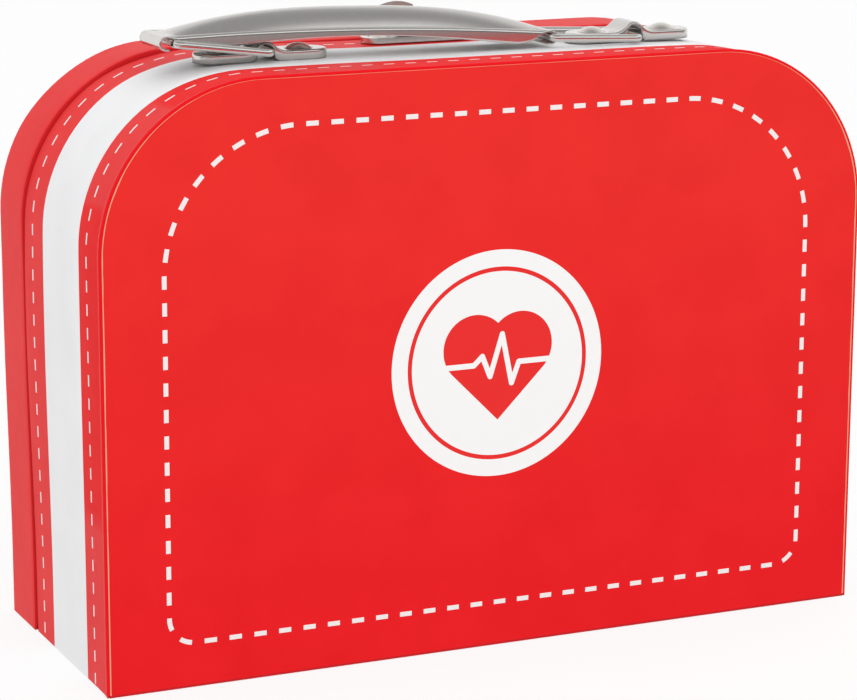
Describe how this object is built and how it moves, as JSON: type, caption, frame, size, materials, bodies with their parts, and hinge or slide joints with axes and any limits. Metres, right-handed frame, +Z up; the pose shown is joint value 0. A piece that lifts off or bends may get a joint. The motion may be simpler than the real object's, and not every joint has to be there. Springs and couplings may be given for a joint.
{
  "type": "toy doctor case",
  "caption": "Child's cardboard play case with arched top, hinged lid, folding steel carry handle on wire loops and hasp clasp.",
  "frame": {"origin": "middle of the case's base, on the surface it stands on", "axes": "+X to the right seen from the front, +Y from the front face to the back of the lid, +Z up"},
  "size_m": [0.253, 0.0934, 0.195],
  "materials": {
    "board": "grey-tan rigid paper board, matt",
    "front_print": "glossy coated paper, printed red with white dashes",
    "wrap_paper": "satin coated paper, printed in red and white bands",
    "lining_paper": "plain white matt paper",
    "hinge_cloth": "thin bookbinder's cloth",
    "nickel_sheet": "nickel-plated pressed steel, bright with a soft haze",
    "nickel_wire": "nickel-plated round steel wire",
    "rivet_metal": "nickel-plated steel, slightly warm"
  },
  "bodies": {
    "tray": {"front_panel": "board", "front_sheet": "front_print", "tray_wall": "board", "tray_neck": "board", "tray_bottom": "board", "tray_wrap": "wrap_paper", "tray_base_paper": "wrap_paper", "tray_lining": "lining_paper", "tray_hinge_cloth": "hinge_cloth", "left_bracket": "nickel_sheet", "right_bracket": "nickel_sheet", "bracket_rivets": "rivet_metal", "tray_washers": "rivet_metal", "clasp_base": "nickel_sheet", "clasp_rivets": "rivet_metal", "clasp_pin": "nickel_wire"},
    "lid": {"lid_panel": "board", "lid_wall": "board", "lid_bottom": "board", "lid_wrap": "wrap_paper", "lid_base_paper": "wrap_paper", "lid_back_sheet": "wrap_paper", "lid_lining": "lining_paper", "lid_hinge_cloth": "hinge_cloth", "catch_plate": "nickel_sheet", "catch_rivets": "rivet_metal", "lid_washers": "rivet_metal"},
    "hasp": {"clasp_hasp": "nickel_sheet"},
    "left_loop": {"left_loop": "nickel_wire"},
    "grip": {"handle_grip": "nickel_sheet"},
    "right_loop": {"right_loop": "nickel_wire"}
  },
  "joints": [
    {"name": "lid_hinge", "type": "hinge", "parent": "tray", "child": "lid", "pos_m": [0, 0.0232, 0], "axis": [-1, 0, 0], "range_deg": [0, 170]},
    {"name": "hasp_hinge", "type": "hinge", "parent": "tray", "child": "hasp", "pos_m": [0, 0.0133, 0.1836], "axis": [1, 0, 0], "range_deg": [0, 100]},
    {"name": "left_loop_pivot", "type": "hinge", "parent": "tray", "child": "left_loop", "pos_m": [-0.0619, -0.0105, 0.1831], "axis": [0, 1, 0], "range_deg": [0, 165]},
    {"name": "grip_pivot", "type": "hinge", "parent": "left_loop", "child": "grip", "pos_m": [-0.09183, -0.0105, 0.18715], "axis": [0, 1, 0], "range_deg": [-168, 0]},
    {"name": "right_loop_pivot", "type": "hinge", "parent": "grip", "child": "right_loop", "pos_m": [0.03045, -0.0105, 0.18298], "axis": [0, 1, 0], "range_deg": [0, 171]}
  ],
  "couplings": [
    {"joint": "grip_pivot", "follows": "left_loop_pivot", "ratio": -1.015},
    {"joint": "right_loop_pivot", "follows": "left_loop_pivot", "ratio": 1.035}
  ]
}
